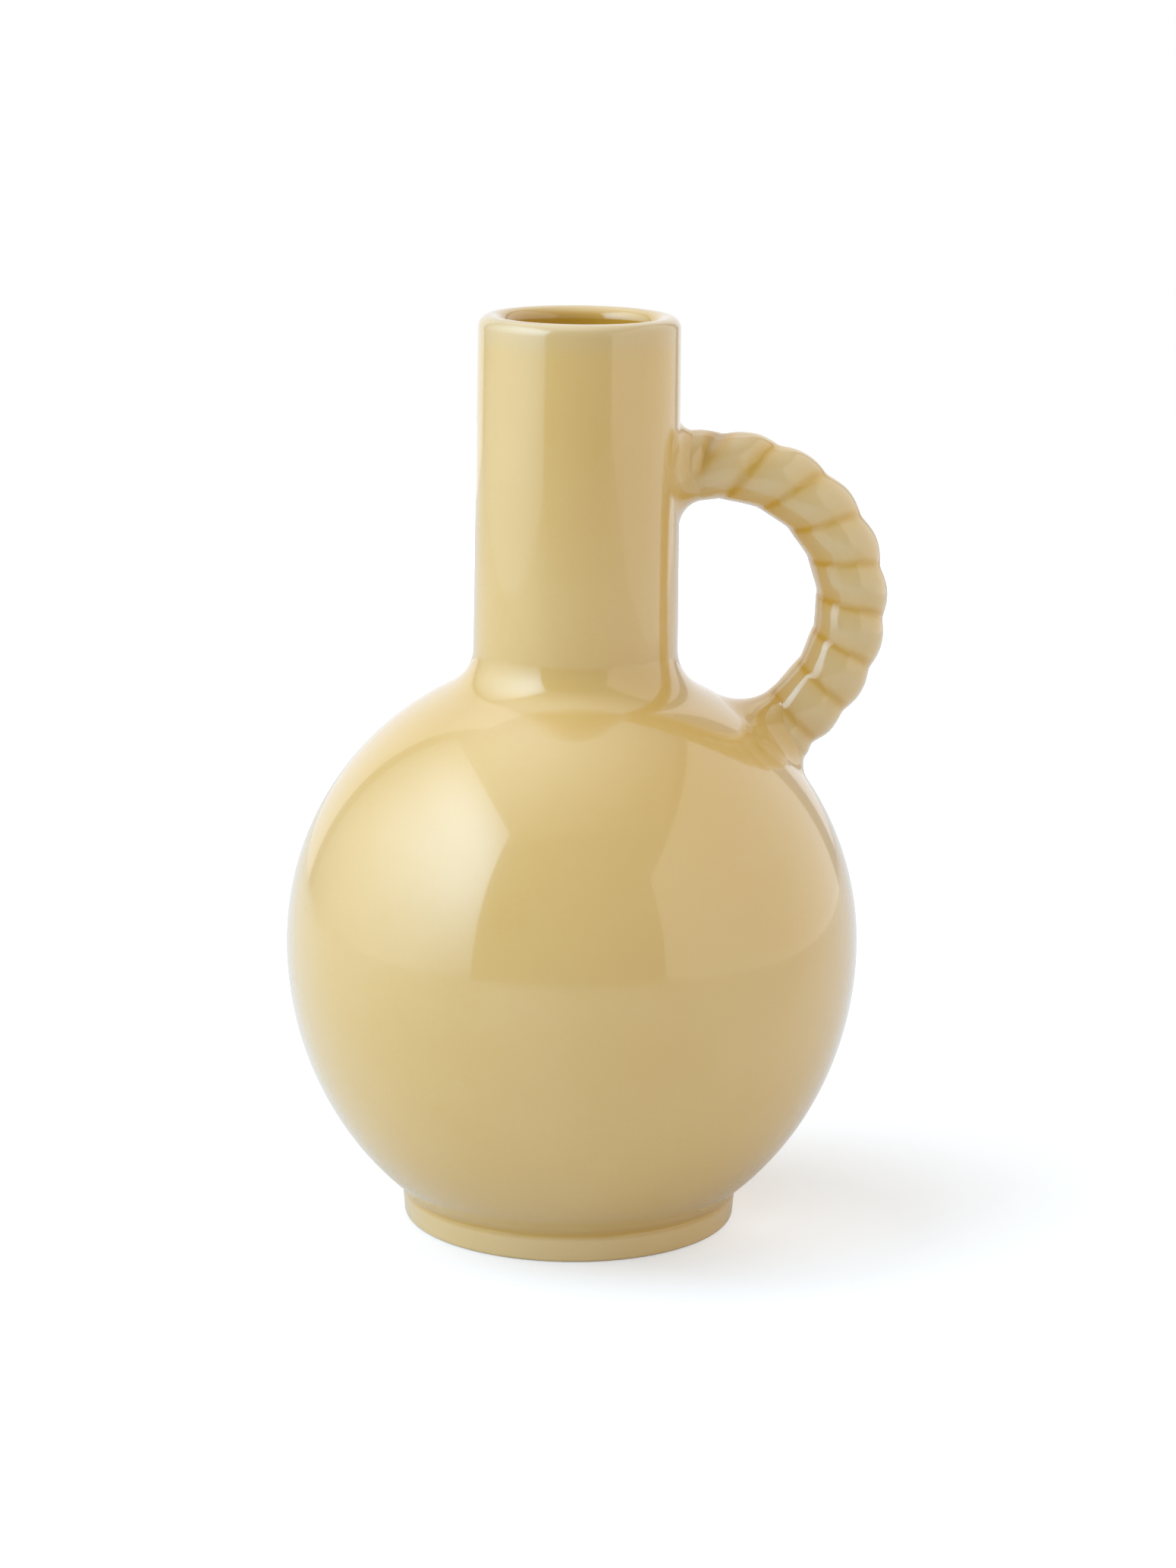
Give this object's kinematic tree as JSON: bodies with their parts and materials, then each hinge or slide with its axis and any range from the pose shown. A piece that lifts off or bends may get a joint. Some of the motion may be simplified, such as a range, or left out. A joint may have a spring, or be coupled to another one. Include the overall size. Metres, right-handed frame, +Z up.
{
  "type": "ceramic jug vase",
  "caption": "Round-bellied ceramic jug vase on a low foot ring, with a straight tube neck and a twisted rope handle from neck to shoulder.",
  "frame": {"origin": "centre of the foot ring's resting plane, on the vessel's turning axis", "axes": "+Z up along the turning axis, +X towards the handle, +Y by the right hand"},
  "size_m": [0.1513, 0.1444, 0.23],
  "materials": {
    "yellow_glaze": "gloss",
    "foot_glaze": "gloss",
    "handle_glaze": "gloss"
  },
  "bodies": {
    "root": {"belly": "yellow_glaze", "foot_ring": "foot_glaze", "neck": "yellow_glaze", "neck_joint": "yellow_glaze", "twisted_handle": "handle_glaze", "upper_handle_joint": "handle_glaze", "lower_handle_joint": "handle_glaze"}
  },
  "joints": []
}
